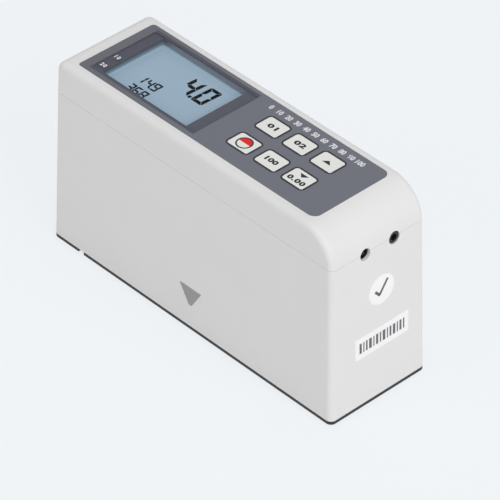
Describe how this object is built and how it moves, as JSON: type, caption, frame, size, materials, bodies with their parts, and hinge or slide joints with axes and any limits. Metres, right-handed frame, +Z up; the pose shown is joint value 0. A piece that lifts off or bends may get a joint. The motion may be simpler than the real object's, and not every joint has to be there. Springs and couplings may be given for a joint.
{
  "type": "reflectance meter",
  "caption": "Handheld reflectance meter: drafted plastic case on a black base plate with a round measuring aperture, display window, keys, end sockets and battery cover.",
  "frame": {"origin": "middle of the base plate's underside, on the surface that the meter stands on", "axes": "+X along the length, from the display to the rounded end with the sockets; +Z up; -Y out of the long side with the arrow mark"},
  "size_m": [0.14, 0.0446, 0.0765],
  "materials": {
    "housing_shell": "fine-textured light grey ABS",
    "base_black": "black moulded plastic",
    "panel_slate": "slate grey printed sheet, satin",
    "window_clear": "clear sheet",
    "frame_dark": "dark grey moulded plastic",
    "display_blue": "pale blue reflective display",
    "elastomer": "layered conductive rubber",
    "key_white": "off-white moulded keys",
    "switch_black": "black switch bodies",
    "board_green": "green circuit board",
    "chip_black": "black resin",
    "socket_black": "black moulded plastic",
    "head_black": "dull black, so that it reflects no stray light",
    "lens_clear": "clear glass",
    "lamp_clear": "clear lamp envelope",
    "filter_green": "green filter glass",
    "screw_steel": "plated steel",
    "contact_nickel": "nickel-plated contact metal",
    "cell_sleeve": "plain printed steel sleeve",
    "label_white": "white paper-like film, blank of words",
    "mark_grey": "grey printed mark"
  },
  "bodies": {
    "meter": {"lower_housing": "housing_shell", "top_cover": "housing_shell", "base_plate": "base_black", "control_panel": "panel_slate", "display_window": "window_clear", "display_frame": "frame_dark", "display_glass": "display_blue", "contact_strips": "elastomer", "key_switches": "switch_black", "circuit_board": "board_green", "lamp_board": "board_green", "detector_boards": "board_green", "board_chips": "chip_black", "light_detectors": "chip_black", "output_jack": "socket_black", "power_socket": "socket_black", "optical_head": "head_black", "condenser_lens": "lens_clear", "lamp": "lamp_clear", "colour_filters": "filter_green", "base_screws": "screw_steel", "housing_screws": "screw_steel", "board_screws": "screw_steel", "head_screws": "screw_steel", "contact_plates": "contact_nickel", "contact_springs": "contact_nickel", "battery_cell_1": "cell_sleeve", "battery_cell_2": "cell_sleeve", "battery_cell_3": "cell_sleeve", "battery_cell_4": "cell_sleeve", "round_label": "label_white", "end_label": "label_white", "side_arrow": "mark_grey"},
    "key_power_body": {"key_power": "key_white"},
    "key_calibrate_body": {"key_calibrate": "key_white"},
    "key_down_body": {"key_down": "key_white"},
    "key_black_body": {"key_black": "key_white"},
    "key_white_body": {"key_white": "key_white"},
    "key_up_body": {"key_up": "key_white"},
    "battery_cover_body": {"battery_cover": "housing_shell"}
  },
  "joints": [
    {"name": "key_power_press", "type": "slide", "parent": "meter", "child": "key_power_body", "axis": [0, 0, -1], "range_m": [0, 0.0004], "stiffness_N_per_m": 2000, "springref_m": -0.0003},
    {"name": "key_calibrate_press", "type": "slide", "parent": "meter", "child": "key_calibrate_body", "axis": [0, 0, -1], "range_m": [0, 0.0004], "stiffness_N_per_m": 2000, "springref_m": -0.0003},
    {"name": "key_down_press", "type": "slide", "parent": "meter", "child": "key_down_body", "axis": [0, 0, -1], "range_m": [0, 0.0004], "stiffness_N_per_m": 2000, "springref_m": -0.0003},
    {"name": "key_black_press", "type": "slide", "parent": "meter", "child": "key_black_body", "axis": [0, 0, -1], "range_m": [0, 0.0004], "stiffness_N_per_m": 2000, "springref_m": -0.0003},
    {"name": "key_white_press", "type": "slide", "parent": "meter", "child": "key_white_body", "axis": [0, 0, -1], "range_m": [0, 0.0004], "stiffness_N_per_m": 2000, "springref_m": -0.0003},
    {"name": "key_up_press", "type": "slide", "parent": "meter", "child": "key_up_body", "axis": [0, 0, -1], "range_m": [0, 0.0004], "stiffness_N_per_m": 2000, "springref_m": -0.0003},
    {"name": "battery_cover_swing", "type": "hinge", "parent": "meter", "child": "battery_cover_body", "pos_m": [-0.0342, 0.02207, 0.0112], "axis": [-1, 0, 0], "range_deg": [0, 80]}
  ]
}
